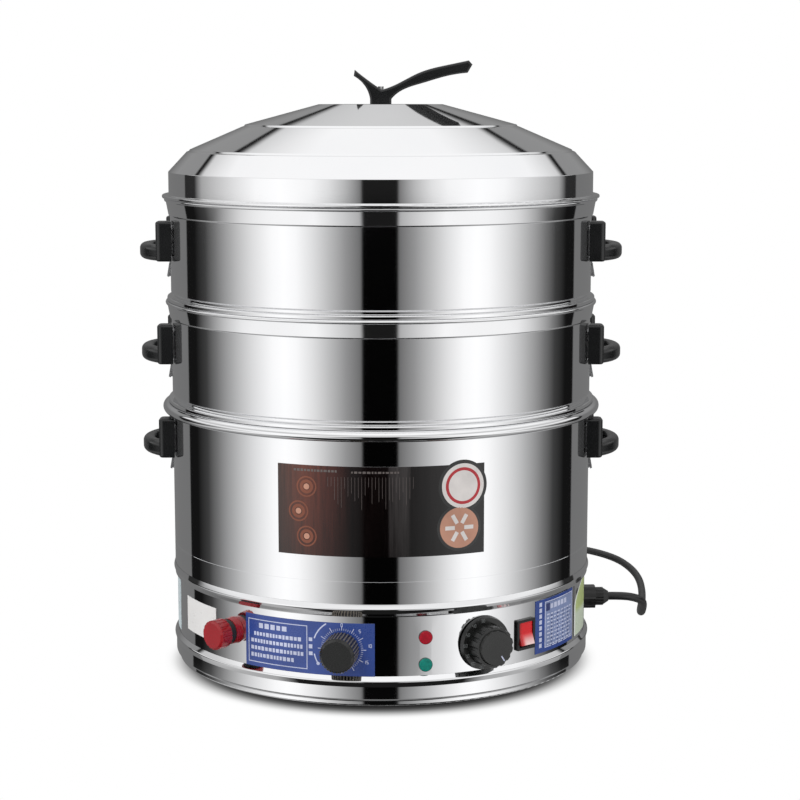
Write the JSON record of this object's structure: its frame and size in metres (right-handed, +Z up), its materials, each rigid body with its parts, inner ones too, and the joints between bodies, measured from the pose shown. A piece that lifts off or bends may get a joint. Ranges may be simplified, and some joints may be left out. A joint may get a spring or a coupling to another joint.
{
  "type": "commercial electric steamer",
  "caption": "Countertop electric food steamer: heated steel pot on a round control base, stacked steaming tiers and a domed lid, with black side handles and a mains cord.",
  "frame": {"origin": "on the pot's axis, at the surface that the base stands on", "axes": "+Z up along the pot's axis; -Y is the front, with the controls; +X is the side that the mains cord leaves"},
  "size_m": [0.5826, 0.7566, 0.6398],
  "materials": {
    "polished_steel": "mirror-polished stainless sheet",
    "satin_steel": "satin stainless steel",
    "galvanised": "galvanised sheet",
    "bakelite": "black phenolic moulding, semi-gloss",
    "black_nylon": "black nylon",
    "knob_black": "fine-textured black ABS",
    "red_plastic": "glossy red plastic",
    "red_lens": "translucent red lens",
    "green_lens": "translucent green lens",
    "rocker_red": "translucent red rocker",
    "rubber": "black rubber",
    "cord_rubber": "black rubber sheath, satin",
    "brass": "plain brass",
    "phenolic": "moulded phenolic",
    "insulation": "wire insulation",
    "front_print": "glossy printed film, dark brown",
    "blue_print": "glossy printed film, blue",
    "pale_print": "glossy printed film, pale"
  },
  "bodies": {
    "base": {"pot_shell": "polished_steel", "pot_floor": "satin_steel", "base_band": "polished_steel", "upper_trim_ring": "polished_steel", "lower_trim_ring": "polished_steel", "base_skirt": "polished_steel", "bottom_plate": "galvanised", "bottom_screws": "satin_steel", "timer_body": "phenolic", "thermostat_body": "phenolic", "lamp_rings": "black_nylon", "red_lamp_lens": "red_lens", "green_lamp_lens": "green_lens", "switch_housing": "black_nylon", "drain_pipe": "satin_steel", "drain_collar": "red_plastic", "heating_element": "satin_steel", "element_nuts": "satin_steel", "dry_burn_cutout": "satin_steel", "terminal_block": "phenolic", "earth_stud": "brass", "inner_wiring": "insulation", "thermostat_bulb": "brass", "cable_gland": "black_nylon", "gland_nut": "black_nylon", "power_cord": "cord_rubber", "power_cord_coil": "cord_rubber", "plug_body": "rubber", "plug_pins": "brass", "front_label": "front_print", "timer_panel": "blue_print", "table_plate": "blue_print", "side_labels": "pale_print", "pot_handle_left": "bakelite", "pot_handle_right": "bakelite", "pot_brackets": "satin_steel", "pot_screws": "satin_steel"},
    "lower_tier": {"lower_tier_shell": "polished_steel", "lower_tier_handle_left": "bakelite", "lower_tier_handle_right": "bakelite", "lower_tier_brackets": "satin_steel", "lower_tier_screws": "satin_steel"},
    "upper_tier": {"upper_tier_shell": "polished_steel", "upper_tier_handle_left": "bakelite", "upper_tier_handle_right": "bakelite", "upper_tier_brackets": "satin_steel", "upper_tier_screws": "satin_steel"},
    "lower_steam_plate": {"lower_steam_plate": "satin_steel"},
    "upper_steam_plate": {"upper_steam_plate": "satin_steel"},
    "lid": {"lid_shell": "polished_steel", "lid_handle": "bakelite", "lid_screw": "satin_steel"},
    "timer_dial": {"timer_knob": "knob_black", "timer_spindle": "brass"},
    "thermostat_dial": {"thermostat_knob": "knob_black", "thermostat_spindle": "brass"},
    "rocker": {"switch_rocker": "rocker_red"},
    "drain_slider": {"drain_washer": "rubber"},
    "drain_turner": {"drain_cap": "red_plastic"}
  },
  "joints": [
    {"name": "lower_tier_lift", "type": "slide", "parent": "base", "child": "lower_tier", "axis": [0, 0, 1], "range_m": [0, 0.2]},
    {"name": "upper_tier_lift", "type": "slide", "parent": "lower_tier", "child": "upper_tier", "axis": [0, 0, 1], "range_m": [0, 0.2]},
    {"name": "lid_lift", "type": "slide", "parent": "upper_tier", "child": "lid", "axis": [0, 0, 1], "range_m": [0, 0.2]},
    {"name": "lower_plate_lift", "type": "slide", "parent": "lower_tier", "child": "lower_steam_plate", "axis": [0, 0, 1], "range_m": [0, 0.08]},
    {"name": "upper_plate_lift", "type": "slide", "parent": "upper_tier", "child": "upper_steam_plate", "axis": [0, 0, 1], "range_m": [0, 0.08]},
    {"name": "timer_turn", "type": "hinge", "parent": "base", "child": "timer_dial", "pos_m": [-0.03917, -0.22918, 0.058], "axis": [0.1685, 0.9857, 0], "range_deg": [0, 320]},
    {"name": "thermostat_turn", "type": "hinge", "parent": "base", "child": "thermostat_dial", "pos_m": [0.10915, -0.20528, 0.059], "axis": [-0.4695, 0.8829, 0], "range_deg": [0, 270]},
    {"name": "rocker_tip", "type": "hinge", "parent": "base", "child": "rocker", "pos_m": [0.14573, -0.16414, 0.0595], "axis": [0.7478, 0.6639, 0], "range_deg": [0, 20]},
    {"name": "drain_cap_advance", "type": "slide", "parent": "base", "child": "drain_slider", "axis": [-0.6691, -0.7431, 0], "range_m": [0, 0.0101]},
    {"name": "drain_cap_turn", "type": "hinge", "parent": "drain_slider", "child": "drain_turner", "pos_m": [-0.16226, -0.18021, 0.0635], "axis": [-0.6691, -0.7431, 0], "range_deg": [0, 1440]}
  ],
  "couplings": [
    {"joint": "drain_cap_advance", "follows": "drain_cap_turn", "m_per_rad": 0.00039789}
  ]
}
